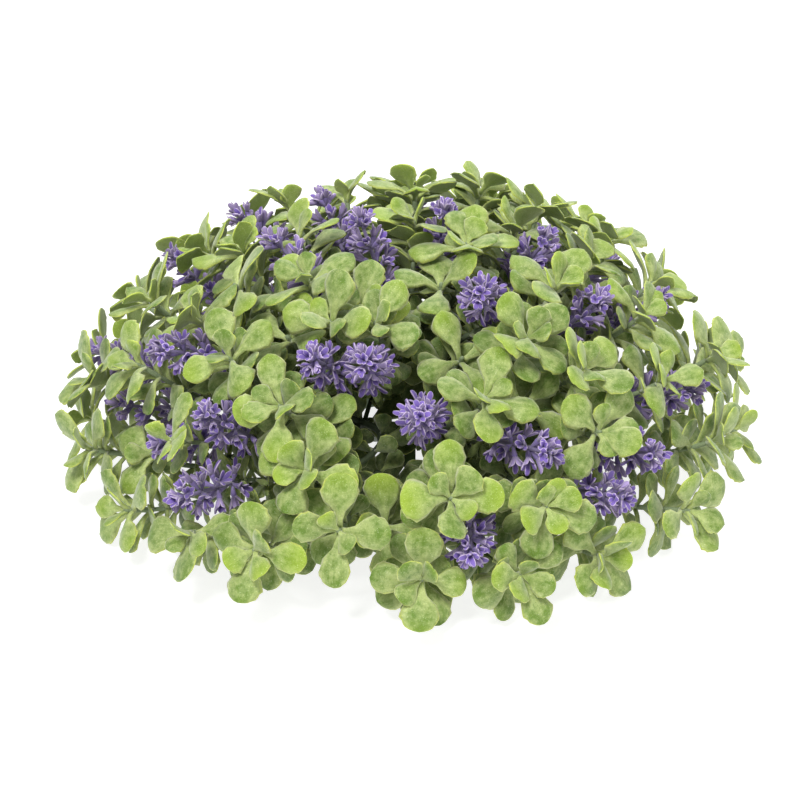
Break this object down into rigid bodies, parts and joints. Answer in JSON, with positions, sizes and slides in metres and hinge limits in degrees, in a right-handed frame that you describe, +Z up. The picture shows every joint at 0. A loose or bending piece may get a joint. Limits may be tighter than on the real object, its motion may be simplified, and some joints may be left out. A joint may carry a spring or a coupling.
{
  "type": "boxwood flower arrangement",
  "caption": "Half-ball arrangement of moulded boxwood sprays and purple lavender heads on a domed green plastic cage, flat base",
  "frame": {"origin": "middle of the base at the level that the cage's band rests on", "axes": "+Z up, -Y towards the front, +X to the right seen from the front"},
  "size_m": [0.2747, 0.2743, 0.1103],
  "materials": {
    "cage": "moulded, dull dark green",
    "boxwood": "flocked, pale green with lighter rims",
    "lavender": "flocked, violet with a lilac dusting"
  },
  "bodies": {
    "root": {"cage": "cage", "pick_01": "boxwood", "pick_02": "boxwood", "pick_03": "boxwood", "pick_04": "boxwood", "pick_05": "boxwood", "pick_06": "boxwood", "pick_07": "boxwood", "pick_08": "boxwood", "pick_09": "boxwood", "pick_10": "boxwood", "pick_11": "boxwood", "pick_12": "boxwood", "pick_13": "boxwood", "pick_14": "boxwood", "pick_15": "boxwood", "pick_16": "boxwood", "pick_17": "boxwood", "pick_18": "boxwood", "pick_19": "boxwood", "pick_20": "boxwood", "pick_21": "boxwood", "pick_22": "boxwood", "lavender_01": "lavender", "lavender_02": "lavender", "lavender_03": "lavender", "lavender_04": "lavender", "lavender_05": "lavender", "lavender_06": "lavender", "lavender_07": "lavender", "lavender_08": "lavender", "lavender_09": "lavender", "lavender_10": "lavender", "lavender_11": "lavender", "lavender_12": "lavender", "lavender_13": "lavender", "lavender_14": "lavender", "lavender_15": "lavender", "lavender_16": "lavender", "lavender_17": "lavender", "lavender_18": "lavender", "lavender_19": "lavender", "lavender_20": "lavender", "lavender_21": "lavender", "lavender_22": "lavender", "lavender_23": "lavender", "lavender_24": "lavender", "lavender_25": "lavender", "lavender_26": "lavender", "lavender_27": "lavender", "lavender_28": "lavender"}
  },
  "joints": []
}
